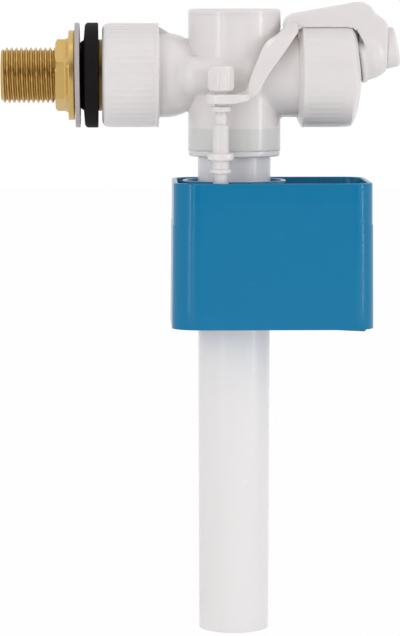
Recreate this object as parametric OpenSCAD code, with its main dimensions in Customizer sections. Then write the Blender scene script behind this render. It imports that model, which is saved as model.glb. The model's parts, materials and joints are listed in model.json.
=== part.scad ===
// Side entry fill valve for a toilet cistern.
// Millimetres. The origin is on the inlet axis, where the cistern wall meets the rubber washer.
// +X runs into the cistern, +Z is up, and the float rod stands on the -Y side of the body.

/* [Inlet] */
// Outside radius of the inlet thread
thread_r = 10.48; // [9:0.02:12]
// Length of thread left free outside the back nut
thread_length = 20.5; // [12:0.5:40]
// Radius of the waterway through the shank
shank_bore_r = 6.6; // [5:0.1:7.5]
// Radius of the two wall washers
washer_r = 19.8; // [17.5:0.1:24]
// Thickness of the nylon washer
nylon_washer_t = 2.0; // [1:0.1:4]
// Thickness of the rubber washer's disc
rubber_washer_t = 5.5; // [3:0.1:8]
// Wall of the back nut between its thread and its flats
backnut_wall = 1.5; // [1.3:0.1:4]
// Length of the back nut's hexagon
backnut_hex_length = 4.9; // [3:0.1:10]
// Wall of the ribbed union nut
union_wall = 3.1; // [2.6:0.1:6]
// Length of the ribbed union nut
union_length = 21.4; // [20:0.1:30]

/* [Body] */
// Distance from the cistern wall to the upright tube's axis
tube_x = 58.3; // [57:0.1:80]
// Outside radius of the upright tube
tube_r = 17.5; // [16.8:0.1:19]
// Height of the tube's top above the inlet axis
tube_top = 25.0; // [22:0.1:45]
// Depth of the tube's lower mouth below the inlet axis
tube_mouth = 28.5; // [26:0.1:40]
// Outside radius of the two side arms
arm_r = 15.9; // [15.5:0.1:17]
// Wall of the moulded body
body_wall = 2.4; // [1.8:0.1:3]
// Radius of the front water passage, outside
passage_r = 7.4; // [6.8:0.1:8]
// How far in front of the tube axis the passage runs
passage_y = 11.2; // [10.6:0.1:12]
// Radius of the outlet bore from the valve seat
outlet_r = 3.6; // [2.5:0.1:4]

/* [Pilot end] */
// Distance from the tube axis to the tip of the domed pilot end
ring_reach = 48.1; // [47:0.1:60]
// Length of the clamping ring
ring_length = 24.3; // [22:0.1:30]
// Wall of the clamping ring
ring_wall = 2.9; // [2.6:0.1:5]
// Width of the lip with which the clamping ring holds the cover
ring_lip_w = 2.1; // [1.6:0.1:2.6]
// Height of the dome on the pilot end
dome_h = 5.2; // [3:0.1:6]
// Radius of the pivot pin
pin_r = 1.25; // [1:0.05:1.3]
// Height of the lever's pivot above the clamping ring
pivot_rise = 3.0; // [3:0.1:5]

/* [Lever] */
// Angle that the lever drops from shut to fully open
lever_drop = 10; // [6:1:12]
// Half width of the lever's channel
lever_half_w = 8.9; // [8.6:0.1:10]
// Thickness of the lever's cheeks and skirts
lever_wall = 2.1; // [1.6:0.1:2.2]
// Thickness of the lever's strap
strap_t = 3.0; // [2:0.1:3.4]
// Thickness of the slotted eye
eye_t = 3.6; // [2.4:0.1:3.6]

/* [Float] */
// Radius of the adjusting rod
rod_r = 2.2; // [1.8:0.1:2.4]
// Length of the adjusting rod below the eye
rod_length = 64; // [50:1:90]
// Radius of the ribbed thumb wheel
wheel_r = 4.9; // [4.2:0.1:5.4]
// Height of the ribbed thumb wheel
wheel_h = 9.1; // [6:0.1:12]
// Length of the float along X
float_l = 73.4; // [68:0.2:100]
// Distance from the adjusting rod's axis to the float's front
float_front = 5.2; // [5:0.1:12]
// Height of the float
float_h = 54.5; // [36:0.5:80]
// Wall of the float
float_wall = 1.6; // [1.2:0.1:2]
// Depth of the float's rim below the inlet axis
float_top = 39.6; // [38:0.1:60]

/* [Downpipe] */
// Outside radius of the downpipe at its top
pipe_r = 13.8; // [13.4:0.1:13.9]
// Outside radius of the downpipe at its foot
pipe_foot_r = 13.3; // [13:0.1:13.8]
// Radius of the downpipe's bore
pipe_bore_r = 12.0; // [11:0.1:12.4]
// Depth of the downpipe's foot below the inlet axis
pipe_foot = 212; // [140:1:300]

/* [Hidden] */
$fn = 72;

// Fits
fit = 0.1;
over = 1;

// Inlet stack, along X from the wall face
shank_under_nut_r = thread_r - 0.18;
flange_t = 2.2;
backnut_flange_r = 16.9;
backnut_turn = 39;
backnut_gap = 0.2;
nut_x = -nylon_washer_t - backnut_gap - flange_t;
hex_x = nut_x - backnut_hex_length;
shank_x = hex_x - thread_length;
washer_boss_t = 1.3;
washer_boss_r = shank_under_nut_r + 2.1;
collar_x = washer_boss_t + rubber_washer_t;
collar_r = thread_r + 3.0;
union_x = collar_x + 1.5;
union_end = union_x + union_length;
lip_t = 2.4;
shank_flange_x = union_x + lip_t + fit;
shank_flange_t = 2.4;
gasket_x = shank_flange_x + shank_flange_t;
gasket_t = 2;
stub_x = gasket_x + gasket_t;
stub_r = arm_r + 0.7;
union_r = stub_r + union_wall;
shank_flange_r = stub_r - 1.22;
nut_rib_depth = 0.3;
nut_bead_t = 1.0;
rib_count = 48;

// Body
chamber_r = 10.4;
chamber_end = union_end + 8;
dome_x = union_end + 2.6;
passage_bore_r = 4.4;
passage_bore_y = passage_y - 1.6;
cap_t = 2;
pipe_head_t = 2;
pipe_head_r = pipe_r + 1.1;
collar_lip_t = 2;
collar_sleeve_h = 4.2;
pipe_seat_z = -19.5;
seal_t = 2.2;
socket_r = pipe_head_r + fit;
outlet_chamber_r = pipe_bore_r - 0.6;

// Pilot end, along X from the tube axis
ring_end = tube_x + ring_reach;
ring_x = ring_end - ring_length;
right_stub_r = arm_r + 1.0;
ring_r = right_stub_r + ring_wall;
ring_opening_r = right_stub_r - ring_lip_w;
ring_lip_t = dome_h - 0.4;
ring_lead = 1.6;
ring_rib_end = ring_end - dome_h - 1;
cover_t = 4.2;
diaphragm_t = 1.5;
cover_face = ring_end - ring_lip_t - fit;
cover_x = cover_face - cover_t;
diaphragm_x = cover_x - diaphragm_t;
cover_r = right_stub_r - fit;
cover_dome_r = ring_opening_r - 0.15;
right_chamber_r = right_stub_r - 3.9;
seat_r = outlet_r + 1.6;
seat_x = diaphragm_x - 0.1;
recess_t = 1.7;
metering_r = 0.8;
metering_z = -9.2;

// Pivot and the lever's head, drawn with the valve shut
pivot_z = ring_r + pivot_rise;
pivot = [ring_end + 0.4, pivot_z];
arm_left = tube_x + tube_r + 0.8;
arm_rise = 5.1;
boss_r = 3.9;
ear_r = 2.3;
ear_t = 2.4;
ear_y = 3.7;
head_z = ring_opening_r - 6.0;
head_x = cover_face + 0.7;
head_rim_r = 11.5;
head_l = 11.4;
head_wall = 1.7;
head_floor = 3.0;
head_clear = 0.35;
hood_face_x = pivot[0] + 9.0;
pocket_r = head_rim_r + 0.65;
knob_l = 3.9;
knob_r = 8.0;
knob_end_r = 7.2;
knob_spigot_r = 5.4;
nozzle_r = 2.0;
nozzle_l = 2.2;
seal_r = 2.8;
head_end = head_x + head_l;
spigot_x = head_end - head_floor - 0.9;
seal_end = head_end - 1.4;

// Strap, eye and rod
strap_in_r = max(passage_y + passage_r + 0.7, tube_r + 1.8, arm_r + 3.4);
strap_clear_r = tube_r + 1.2;
rod_x = tube_x - 5.9;
rod_y = -(strap_in_r + strap_t + 2.9);
eye_r = 5.95;
eye_z = -8.4;
eye_slot_r = rod_r + 0.4;
eye_slot_l = 5.2;
hub_r = 3.2;
hub_gap = 2.55;
hub_play = 0.2;
wheel_z = eye_z + 3.1;
rod_collar_r = 3.95;
rod_collar_t = 2.0;
rod_collar_z = eye_z - hub_gap - hub_play - rod_collar_t;
wheel_ribs = 20;

// Float
guide_r = tube_r + 0.6;
float_x = tube_x - guide_r - float_wall - 2.4;
float_y = rod_y - float_front;
float_w = guide_r + float_wall + 1.3 - float_y;
float_corner_r = 4.6;
foot_hole_r = pipe_r + 0.8;
nut_sleeve_r = 2.9;
nut_top = -17.9;
nut_flange_z = -31.1;
nut_flange_t = 2.6;
nut_flange_r = 4.9;
nut_clip_z = -36;
nut_clip_t = 1.5;
nut_clip_r = 3.9;
nut_foot = -62;
nut_socket_z = -float_top - 2.5;
nut_socket_r = nut_sleeve_r + 1.5;

white = "whitesmoke";
milky = "gainsboro";
blue = "steelblue";
brass = "goldenrod";
rubber = "dimgray";

// A cylinder along X from x0 to x1
module rod_along_x(r, x0, x1) {
    translate([x0, 0, 0]) rotate([0, 90, 0]) cylinder(r = r, h = x1 - x0);
}

// A profile turned about the X axis: its own x is the distance along X, its own y the radius
module turned_about_x() {
    rotate([0, 90, 0]) rotate_extrude() mirror([1, -1, 0]) children();
}

// An outline in the XZ plane given a thickness from y0 to y1
module plate_xz(y0, y1) {
    translate([0, y1, 0]) rotate([90, 0, 0]) linear_extrude(height = y1 - y0) children();
}

// A rectangle whose corners all have the radius r
module rounded_rect(w, h, r) {
    translate([r, 0]) square([w - 2 * r, h]);
    translate([0, r]) square([w, h - 2 * r]);
    for (x = [r, w - r], y = [r, h - r]) translate([x, y]) circle(r);
}

// A round outline with count shallow ribs
function ribbed(r, depth, count) = [
    for (i = [0 : count - 1], k = [0 : 3])
        let (a = (i + [0, 0.3, 0.5, 0.8][k]) * 360 / count, q = r - (k < 2 ? 0 : depth))
        [q * cos(a), q * sin(a)]
];

// A grip of ribs along X whose hollows end inside a barrel of the radius r - depth
module grip_ribs(r, depth, count, x0, x1) {
    translate([x0, 0, 0]) rotate([0, 90, 0])
        linear_extrude(height = x1 - x0) polygon(ribbed(r, depth + 0.3, count));
}

// Where the pilot end's dome stands at a distance r from its axis
function domed(r) = ring_end - dome_h * (1 - sqrt(1 - pow(r / ring_r, 2)));

// Things that ride on the lever are drawn with the valve shut and dropped to rest
module dropped() {
    translate([pivot[0], 0, pivot[1]])
        rotate([0, -lever_drop, 0])
            translate([-pivot[0], 0, -pivot[1]]) children();
}

module inlet_shank() {
    color(brass) difference() {
        union() {
            rod_along_x(thread_r, shank_x + 1, hex_x);
            translate([shank_x, 0, 0]) rotate([0, 90, 0]) cylinder(r1 = thread_r - 1, r2 = thread_r, h = 1);
            rod_along_x(shank_under_nut_r, hex_x - over, collar_x + over);
            rod_along_x(collar_r, collar_x, shank_flange_x + over);
            rod_along_x(shank_flange_r, shank_flange_x, gasket_x);
        }
        rod_along_x(shank_bore_r, shank_x - over, gasket_x + over);
    }
}

module backnut() {
    hex_r = (thread_r + backnut_wall) / cos(30);
    color(brass) difference() {
        union() {
            intersection() {
                translate([hex_x, 0, 0]) rotate([0, 90, 0]) rotate([0, 0, backnut_turn])
                    cylinder(r = hex_r, h = backnut_hex_length + 0.2, $fn = 6);
                turned_about_x() polygon([
                    [hex_x, 0], [hex_x, hex_r - 1.1], [hex_x + 0.8, hex_r + 0.2],
                    [nut_x + 0.2, hex_r + 0.2], [nut_x + 0.2, 0]
                ]);
            }
            turned_about_x() polygon([
                [nut_x, 0], [nut_x, backnut_flange_r - 0.4], [nut_x + 0.4, backnut_flange_r],
                [nut_x + flange_t, backnut_flange_r], [nut_x + flange_t, 0]
            ]);
        }
        rod_along_x(shank_under_nut_r + fit, hex_x - over, nut_x + flange_t + over);
    }
}

module nylon_washer() {
    color(milky) difference() {
        rod_along_x(washer_r, -nylon_washer_t, 0);
        rod_along_x(shank_under_nut_r + fit, -nylon_washer_t - over, over);
    }
}

module rubber_washer() {
    color(rubber) difference() {
        turned_about_x() polygon([
            [0, 0], [0, washer_boss_r], [0.5, washer_boss_r + 0.5], [washer_boss_t, washer_boss_r + 0.8],
            [washer_boss_t + 0.5, washer_r - 0.6], [washer_boss_t + 1.1, washer_r],
            [collar_x, washer_r], [collar_x, 0]
        ]);
        rod_along_x(shank_under_nut_r + fit, -over, collar_x + over);
    }
}

module union_nut() {
    edge_r = 2;
    core_r = union_r - nut_rib_depth;
    color(white) difference() {
        union() {
            turned_about_x() {
                translate([union_x + edge_r, 0]) square([union_length - edge_r, core_r]);
                translate([union_x, 0]) square([edge_r + 0.1, core_r - edge_r]);
                translate([union_x + edge_r, core_r - edge_r]) circle(edge_r);
            }
            rod_along_x(union_r, union_end - nut_bead_t, union_end);
            grip_ribs(union_r - 0.08, nut_rib_depth, rib_count, union_x + edge_r + 0.3, union_end - nut_bead_t / 2);
        }
        rod_along_x(collar_r + fit, union_x - over, union_end);
        rod_along_x(stub_r + fit, union_x + lip_t, union_end + over);
    }
}

module shank_gasket() {
    color(rubber) difference() {
        rod_along_x(shank_flange_r, gasket_x, stub_x);
        rod_along_x(shank_bore_r + 1.7, gasket_x - over, stub_x + over);
    }
}

module inlet_filter() {
    cup_r = shank_bore_r - 0.4;
    cup_l = 15;
    window = 2.2;
    color(milky) difference() {
        union() {
            rod_along_x(shank_bore_r + 1.6, gasket_x, gasket_x + 1.2);
            rod_along_x(cup_r, gasket_x, gasket_x + cup_l);
        }
        rod_along_x(cup_r - 0.9, gasket_x - over, gasket_x + cup_l - 1);
        for (i = [0 : 3], x = [3.2 : 3.6 : 11])
            translate([gasket_x + x, 0, 0]) rotate([i * 45, 0, 0])
                translate([0, -window / 2, -cup_r - over]) cube([window, window, 2 * (cup_r + over)]);
    }
}

module flow_restrictor() {
    color(white) difference() {
        rod_along_x(shank_bore_r - fit, gasket_x - 3.2, gasket_x);
        rod_along_x(2.4, gasket_x - 3.2 - over, gasket_x + over);
        translate([gasket_x - 3.2 - over, 0, 0]) rotate([0, 90, 0])
            cylinder(r1 = 5.4, r2 = 2.4, h = over + 1.8);
    }
}

// Everything of the body that shows from outside
module body_outside() {
    rod_along_x(stub_r, stub_x, union_end);
    rod_along_x(arm_r, union_end - over, dome_x);
    translate([dome_x, 0, 0]) sphere(arm_r);
    rod_along_x(arm_r, tube_x, ring_x + ring_lead + over);
    rod_along_x(right_stub_r, ring_x + ring_lead, diaphragm_x);
    translate([tube_x, 0, -tube_mouth]) cylinder(r = tube_r, h = tube_mouth + tube_top - cap_t);
    translate([0, -passage_y, 0]) {
        rod_along_x(passage_r, dome_x + 6, ring_x - 6);
    }
    // a web on top of the inlet arm
    plate_xz(-1.4, 1.4) polygon([
        [union_end + 0.1, arm_r - 2], [union_end + 0.1, arm_r + 2.5], [dome_x + 0.6, arm_r + 0.3],
        [dome_x + 6, arm_r - 2.4], [dome_x + 6, arm_r - 4]
    ]);
}

module valve_body() {
    color(white) difference() {
        body_outside();
        // inlet chamber behind the union nut
        rod_along_x(chamber_r, stub_x - over, chamber_end);
        // passage in front of the outlet to the diaphragm chamber
        translate([0, -passage_bore_y, 0]) rod_along_x(passage_bore_r, chamber_end - over, ring_x - 2);
        // diaphragm chamber round the seat
        difference() {
            rod_along_x(right_chamber_r, ring_x - 4, diaphragm_x + over);
            rod_along_x(seat_r, ring_x - 5, seat_x);
        }
        // outlet from the seat to the downpipe
        rod_along_x(outlet_r, tube_x, seat_x + over);
        translate([tube_x, 0, -passage_r - 2.2]) cylinder(r = outlet_r, h = passage_r + 2.2 + outlet_r);
        translate([tube_x, 0, pipe_seat_z - over])
            cylinder(r = outlet_chamber_r, h = over - pipe_seat_z - passage_r - 2);
        translate([tube_x, 0, -tube_mouth - over]) cylinder(r = socket_r, h = tube_mouth + over + pipe_seat_z);
        // empty pocket under the top cap
        translate([tube_x, 0, passage_r + body_wall])
            cylinder(r = tube_r - body_wall, h = tube_top);
    }
}

module top_cap() {
    spigot_h = 3.5;
    edge_r = 1.3;
    pocket_r = tube_r - body_wall - fit;
    color(white) translate([tube_x, 0, 0]) {
        difference() {
            rotate_extrude() {
                translate([0, tube_top - cap_t]) square([tube_r - edge_r, cap_t]);
                translate([0, tube_top - cap_t]) square([tube_r, cap_t - edge_r]);
                translate([tube_r - edge_r, tube_top - edge_r]) intersection() {
                    circle(edge_r);
                    translate([-edge_r, edge_r - cap_t]) square([3 * edge_r, 3 * edge_r]);
                }
                translate([0, tube_top - cap_t - spigot_h]) square([pocket_r, spigot_h + 0.1]);
            }
            translate([0, 0, tube_top - cap_t - spigot_h - over])
                cylinder(r = pocket_r - 1.6, h = spigot_h + over);
        }
    }
}

module diaphragm() {
    color(rubber) difference() {
        union() {
            rod_along_x(cover_r, diaphragm_x, cover_x);
            rod_along_x(seat_r + 1.6, diaphragm_x, cover_x + 0.8);
        }
        translate([0, 0, metering_z]) rod_along_x(metering_r + fit, diaphragm_x - over, cover_x + over);
    }
}

module metering_pin() {
    color(white) translate([0, 0, metering_z]) {
        rod_along_x(metering_r, diaphragm_x - 4.5, cover_face - 1.2);
        rod_along_x(metering_r + 0.7, cover_x + 0.5, cover_x + recess_t);
    }
}

module pilot_cover() {
    ear_left = ring_end - 1.2;
    ear_right = pivot[0] + ear_r;
    color(white) difference() {
        union() {
            rod_along_x(cover_r, cover_x, cover_face);
            // dome in the ring's opening, with a pocket that the lever's hood sinks into
            difference() {
                turned_about_x() polygon(concat(
                    [[cover_x + 1, 0], [cover_x + 1, cover_dome_r]],
                    [for (k = [5 : -1 : 0]) [domed(k * cover_dome_r / 5), k * cover_dome_r / 5]]
                ));
                translate([0, 0, head_z]) rod_along_x(pocket_r, cover_face, ring_end + over);
            }
            translate([0, 0, head_z]) rod_along_x(nozzle_r, cover_face - over, cover_face + nozzle_l);
            for (s = [-1, 1]) {
                y0 = s > 0 ? ear_y : -ear_y - ear_t;
                plate_xz(y0, y0 + ear_t) {
                    polygon([
                        [cover_face - 0.5, head_z - 4.4], [cover_face - 0.5, ring_opening_r - 2.4],
                        [ear_left, ring_opening_r - 2.4], [ear_left, pivot[1] - 2],
                        [pivot[0], pivot[1]], [ear_right, pivot[1]],
                        [ear_right - 0.4, ring_opening_r - 2], [ear_left, head_z - 3.6]
                    ]);
                    translate(pivot) circle(ear_r);
                }
            }
        }
        // room for the diaphragm's middle to lift
        rod_along_x(right_chamber_r - 1.2, cover_x - over, cover_x + recess_t);
        translate([0, 0, metering_z]) rod_along_x(metering_r + fit / 2, cover_x, cover_face - 1.2);
        translate([0, 0, head_z]) rod_along_x(0.55, cover_x - over, cover_face + nozzle_l + over);
        translate([pivot[0], 0, pivot[1]]) rotate([90, 0, 0])
            cylinder(r = pin_r + fit / 4, h = 4 * lever_half_w, center = true);
    }
}

module clamping_ring() {
    core_r = ring_r - nut_rib_depth;
    color(white) difference() {
        union() {
            turned_about_x() polygon(concat(
                [[ring_x, 0], [ring_x, arm_r + 0.4], [ring_x + ring_lead, core_r], [ring_rib_end, core_r]],
                [for (a = [72 : -6 : 0]) [domed(ring_r * sin(a)), ring_r * sin(a)]]
            ));
            rod_along_x(ring_r, ring_x + ring_lead, ring_x + ring_lead + nut_bead_t);
            grip_ribs(ring_r - 0.08, nut_rib_depth, rib_count,
                      ring_x + ring_lead + nut_bead_t / 2, ring_rib_end - 0.3);
        }
        rod_along_x(arm_r + fit, ring_x - over, ring_x + ring_lead);
        rod_along_x(right_stub_r + fit, ring_x + ring_lead - fit, cover_face);
        rod_along_x(ring_opening_r, cover_face - over, ring_end + over);
    }
}

module pivot_pin() {
    color(milky) translate([pivot[0], 0, pivot[1]]) rotate([90, 0, 0])
        cylinder(r = pin_r, h = 2 * (lever_half_w - 0.9), center = true);
}

module tube_collar() {
    color(white) translate([tube_x, 0, 0]) difference() {
        union() {
            translate([0, 0, -tube_mouth - collar_lip_t]) cylinder(r = tube_r - 0.2, h = collar_lip_t);
            translate([0, 0, -tube_mouth - 0.1]) cylinder(r = socket_r - fit, h = collar_sleeve_h + 0.1);
        }
        translate([0, 0, -tube_mouth - collar_lip_t - over])
            cylinder(r = pipe_r + fit, h = collar_sleeve_h + collar_lip_t + 2 * over);
    }
}

module tube_seal() {
    color(rubber) translate([tube_x, 0, pipe_seat_z - pipe_head_t - seal_t]) difference() {
        cylinder(r = socket_r - fit, h = seal_t);
        translate([0, 0, -over]) cylinder(r = pipe_r + fit, h = seal_t + 2 * over);
    }
}

module downpipe() {
    straight = -float_top + tube_mouth + 6;
    color(milky) translate([tube_x, 0, 0]) difference() {
        union() {
            translate([0, 0, pipe_seat_z - pipe_head_t]) cylinder(r = pipe_head_r, h = pipe_head_t);
            translate([0, 0, -tube_mouth - 6]) cylinder(r = pipe_r, h = tube_mouth + 6 + pipe_seat_z);
            translate([0, 0, -pipe_foot])
                cylinder(r1 = pipe_foot_r, r2 = pipe_r, h = pipe_foot - tube_mouth - 6);
        }
        translate([0, 0, -pipe_foot - over]) cylinder(r = pipe_bore_r, h = pipe_foot + 2 * over);
    }
}

// The lever's arm, cheeks and head, drawn with the valve shut
module lever_shut() {
    top = pivot[1] + arm_rise;
    skirt_right = pivot[1] - 3.5;
    skirt_left = pivot[1] + 0.6;
    cheek_left = ring_end - dome_h + 0.8;
    cheek_y = lever_half_w - lever_wall;
    end_r = 5;
    head_r = head_rim_r - 0.7;
    head_end_r = head_rim_r - 1.9;
    inner_r = ring_opening_r - head_clear;
    edge_r = 0.95 * ring_r;
    difference() {
        union() {
            // arm and boss
            plate_xz(-lever_half_w, lever_half_w) {
                translate(pivot) circle(boss_r);
                polygon(concat([
                    [pivot[0] - 1, top], [pivot[0] + 0.8, top - 0.6], [pivot[0] + 2, pivot[1] + 3.3],
                    [pivot[0] + 4.2, pivot[1] - 0.2], [pivot[0] + 7.3, pivot[1] - 3.2],
                    [pivot[0] + 8.6, pivot[1] - 6], [pivot[0] + 8.6, head_z], [cheek_left, head_z],
                    [cheek_left, skirt_right + 0.4], [arm_left + 4.2, skirt_left], [arm_left, skirt_left - 0.9]
                ], [
                    for (a = [180 : -15 : 90])
                        [arm_left + end_r * (1 + cos(a)), top - end_r * (1 - sin(a))]
                ]));
            }
            // head: a tapered hood over the pilot nozzle
            translate([0, 0, head_z]) turned_about_x() {
                polygon([
                    [head_x, 0], [head_x, head_rim_r - 0.4], [head_x + 0.4, head_rim_r],
                    [head_x + 1.6, head_rim_r], [head_x + 2.2, head_r], [head_x + 5.5, head_r - 0.4],
                    [head_x + 8, head_end_r], [head_x + 9.6, knob_r + 0.6], [head_end + 2, knob_r + 0.3],
                    [head_end + 2, 0]
                ]);
            }
        }
        // inside of the arm's channel
        plate_xz(-cheek_y, cheek_y) {
            polygon([
                [arm_left + lever_wall, top - end_r + 1], [arm_left + lever_wall + 3, top - lever_wall],
                [pivot[0] - 1.4, top - lever_wall], [pivot[0], pivot[1] + ear_r],
                [pivot[0] + ear_r + 0.4, pivot[1] - 0.6], [head_end - head_floor, pivot[1] - 4.2],
                [head_end - head_floor, head_z - 1], [head_x - 3, head_z - 1],
                [head_x - 3, head_z + 5], [arm_left + lever_wall, head_z + 5]
            ]);
            translate(pivot) circle(ear_r + head_clear);
        }
        // inside of the hood
        translate([0, 0, head_z]) rod_along_x(head_end_r - head_wall, head_x - over, head_end - head_floor);
        // room for the clamping ring's dome
        turned_about_x() polygon(concat(
            [[head_x - over, ring_r + 2 * head_clear], [head_x - over, inner_r]],
            [for (k = [0 : 6]) let (r = inner_r + k * (edge_r - inner_r) / 6) [domed(r) + head_clear, r]],
            [[domed(edge_r) + head_clear, ring_r + 2 * head_clear]]
        ));
        // seat of the knob
        translate([0, 0, head_z]) rod_along_x(knob_spigot_r + fit / 2, head_x, head_end + 3 * over);
        // blind holes for the pin
        translate([pivot[0], 0, pivot[1]]) rotate([90, 0, 0])
            cylinder(r = pin_r + 0.06, h = 2 * (lever_half_w - 0.8), center = true);
    }
}

// Outline of the strap as it hangs at rest, seen from the front
module strap_outline() {
    polygon([
        [rod_x + 5.2, eye_z + eye_t / 2], [rod_x + 8.2, eye_z + 2.4], [rod_x + 10.3, eye_z + 4.4],
        [rod_x + 11.6, eye_z + 6.6], [rod_x + 12.7, eye_z + 10], [rod_x + 12.7, pivot_z - 13.1],
        [rod_x + 13.1, pivot_z - 11.4], [rod_x + 14.7, pivot_z - 9.5], [rod_x + 18.7, pivot_z - 7.9],
        [arm_left - 2, pivot_z - 6.8], [arm_left - 0.1, pivot_z - 4.8], [arm_left + 1.2, pivot_z - 1.8],
        [arm_left + 5.6, pivot_z - 0.8], [arm_left + 5.6, pivot_z - 4.2], [arm_left + 4.4, pivot_z - 6.8],
        [arm_left + 2.3, pivot_z - 10.3], [arm_left + 0.3, pivot_z - 15], [arm_left - 3.3, pivot_z - 18.9],
        [rod_x + 17.9, eye_z + 8.5], [rod_x + 15.6, eye_z + 4.5], [rod_x + 12.8, eye_z + 0.2],
        [rod_x + 11.2, eye_z - eye_t / 2], [rod_x + 5.2, eye_z - eye_t / 2]
    ]);
}

// The space taken by the body behind the strap, grown by more
module strap_core(more) {
    rod_along_x(strap_in_r + more, tube_x - 30, ring_x - 0.6);
    translate([tube_x - 30, -strap_in_r - more, -30]) cube([60, strap_in_r + more, 30]);
    translate([tube_x, 0, -30]) cylinder(r = strap_clear_r + more, h = 60);
}

module lever() {
    color(white) {
        difference() {
            dropped() lever_shut();
            // upright face that the knob stands on
            translate([hood_face_x, -ring_r, head_z - ring_r]) cube([20, 2 * ring_r, 2 * ring_r]);
        }
        // strap round the front of the body
        difference() {
            intersection() {
                plate_xz(-40, 0) strap_outline();
                strap_core(strap_t);
            }
            strap_core(0);
        }
        // slotted eye on the rod
        translate([0, 0, eye_z - eye_t / 2]) difference() {
            linear_extrude(height = eye_t) {
                for (dx = [0, eye_slot_l]) translate([rod_x + dx, rod_y]) circle(eye_r);
                translate([rod_x, rod_y - eye_r]) square([eye_slot_l, 2 * eye_r]);
                translate([rod_x + eye_slot_l, -strap_in_r - strap_t]) square([6.4, strap_t]);
            }
            for (dx = [0, eye_slot_l])
                translate([rod_x + dx, rod_y, -over]) cylinder(r = eye_slot_r, h = eye_t + 2 * over);
            translate([rod_x, rod_y - eye_slot_r, -over]) cube([eye_slot_l, 2 * eye_slot_r, eye_t + 2 * over]);
        }
    }
}

module pilot_seal() {
    color(rubber) dropped() translate([0, 0, head_z])
        rod_along_x(seal_r, cover_face + nozzle_l + 0.1, seal_end);
}

module seal_knob() {
    knob_end = head_end + knob_l;
    color(white) difference() {
        union() {
            intersection() {
                dropped() translate([0, 0, head_z]) turned_about_x() polygon([
                    [head_x, 0], [head_x, knob_r], [knob_end - 1, knob_r - 0.3], [knob_end, knob_end_r],
                    [knob_end, 0]
                ]);
                translate([hood_face_x, -ring_r, head_z - ring_r]) cube([20, 2 * ring_r, 2 * ring_r]);
            }
            dropped() translate([0, 0, head_z]) rod_along_x(knob_spigot_r, spigot_x, knob_end - 1);
        }
        dropped() translate([0, 0, head_z]) rod_along_x(seal_r, spigot_x - over, seal_end);
    }
}

module rod_collar() {
    color(milky) translate([rod_x, rod_y, rod_collar_z]) difference() {
        cylinder(r = rod_collar_r, h = rod_collar_t);
        translate([0, 0, -over]) cylinder(r = rod_r - 0.3 + fit / 2, h = rod_collar_t + 2 * over);
    }
}

module adjusting_rod() {
    color(milky) translate([rod_x, rod_y, 0]) {
        translate([0, 0, rod_collar_z + rod_collar_t + 0.1])
            cylinder(r = rod_r, h = wheel_z - rod_collar_z - rod_collar_t + wheel_h - 3);
        translate([0, 0, rod_collar_z - over]) cylinder(r = rod_r - 0.3, h = rod_collar_t + 2 * over);
        translate([0, 0, eye_z - rod_length])
            cylinder(r = rod_r, h = rod_collar_z - 0.1 - eye_z + rod_length);
    }
}

module thumb_wheel() {
    color(white) translate([rod_x, rod_y, 0]) difference() {
        union() {
            translate([0, 0, wheel_z]) linear_extrude(height = wheel_h)
                polygon(ribbed(wheel_r, 0.45, wheel_ribs));
            translate([0, 0, eye_z + hub_gap]) cylinder(r = hub_r, h = wheel_z - eye_z - hub_gap + over);
        }
        translate([0, 0, eye_z]) cylinder(r = rod_r + fit / 2, h = wheel_z - eye_z + wheel_h - 2.8);
    }
}

// Plan of the float, inset from its outside by the given amount
module float_plan(inset) {
    translate([float_x + inset, float_y + inset])
        rounded_rect(float_l - 2 * inset, float_w - 2 * inset, float_corner_r - inset);
}

module float_cup() {
    z0 = -float_top - float_h;
    color(blue) difference() {
        union() {
            difference() {
                translate([0, 0, z0]) linear_extrude(height = float_h) float_plan(0);
                translate([0, 0, z0 + float_wall]) linear_extrude(height = float_h) float_plan(float_wall);
            }
            // guide ring round the body and downpipe
            intersection() {
                translate([tube_x, 0, z0]) cylinder(r = guide_r + float_wall, h = float_h);
                translate([0, 0, z0]) linear_extrude(height = float_h) float_plan(0);
            }
            // socket for the float nut, held on the front wall
            translate([rod_x, rod_y, z0]) cylinder(r = nut_socket_r, h = nut_socket_z - z0);
            translate([rod_x - nut_socket_r, float_y + 0.5, z0])
                cube([2 * nut_socket_r, rod_y - float_y - 0.5, nut_socket_z - z0]);
        }
        translate([tube_x, 0, z0 + 3]) cylinder(r = guide_r, h = float_h);
        translate([tube_x, 0, z0 - over]) cylinder(r = foot_hole_r, h = float_h);
        translate([rod_x, rod_y, z0 + 3]) cylinder(r = nut_sleeve_r + fit, h = float_h);
    }
}

module float_nut() {
    color(milky) translate([rod_x, rod_y, 0]) difference() {
        union() {
            translate([0, 0, nut_foot]) cylinder(r = nut_sleeve_r, h = nut_top - nut_foot);
            translate([0, 0, nut_flange_z]) cylinder(r = nut_flange_r, h = nut_flange_t);
            translate([0, 0, nut_clip_z]) cylinder(r = nut_clip_r, h = nut_clip_t);
            translate([0, 0, nut_clip_z]) cylinder(r = nut_sleeve_r + 0.2, h = nut_flange_z - nut_clip_z);
        }
        translate([0, 0, nut_foot - over]) cylinder(r = rod_r + fit / 2, h = nut_top - nut_foot + 2 * over);
    }
}

inlet_shank();
backnut();
nylon_washer();
rubber_washer();
union_nut();
shank_gasket();
inlet_filter();
flow_restrictor();
valve_body();
top_cap();
diaphragm();
metering_pin();
pilot_cover();
clamping_ring();
pivot_pin();
tube_collar();
tube_seal();
downpipe();
lever();
pilot_seal();
seal_knob();
rod_collar();
adjusting_rod();
thumb_wheel();
float_cup();
float_nut();
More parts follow.
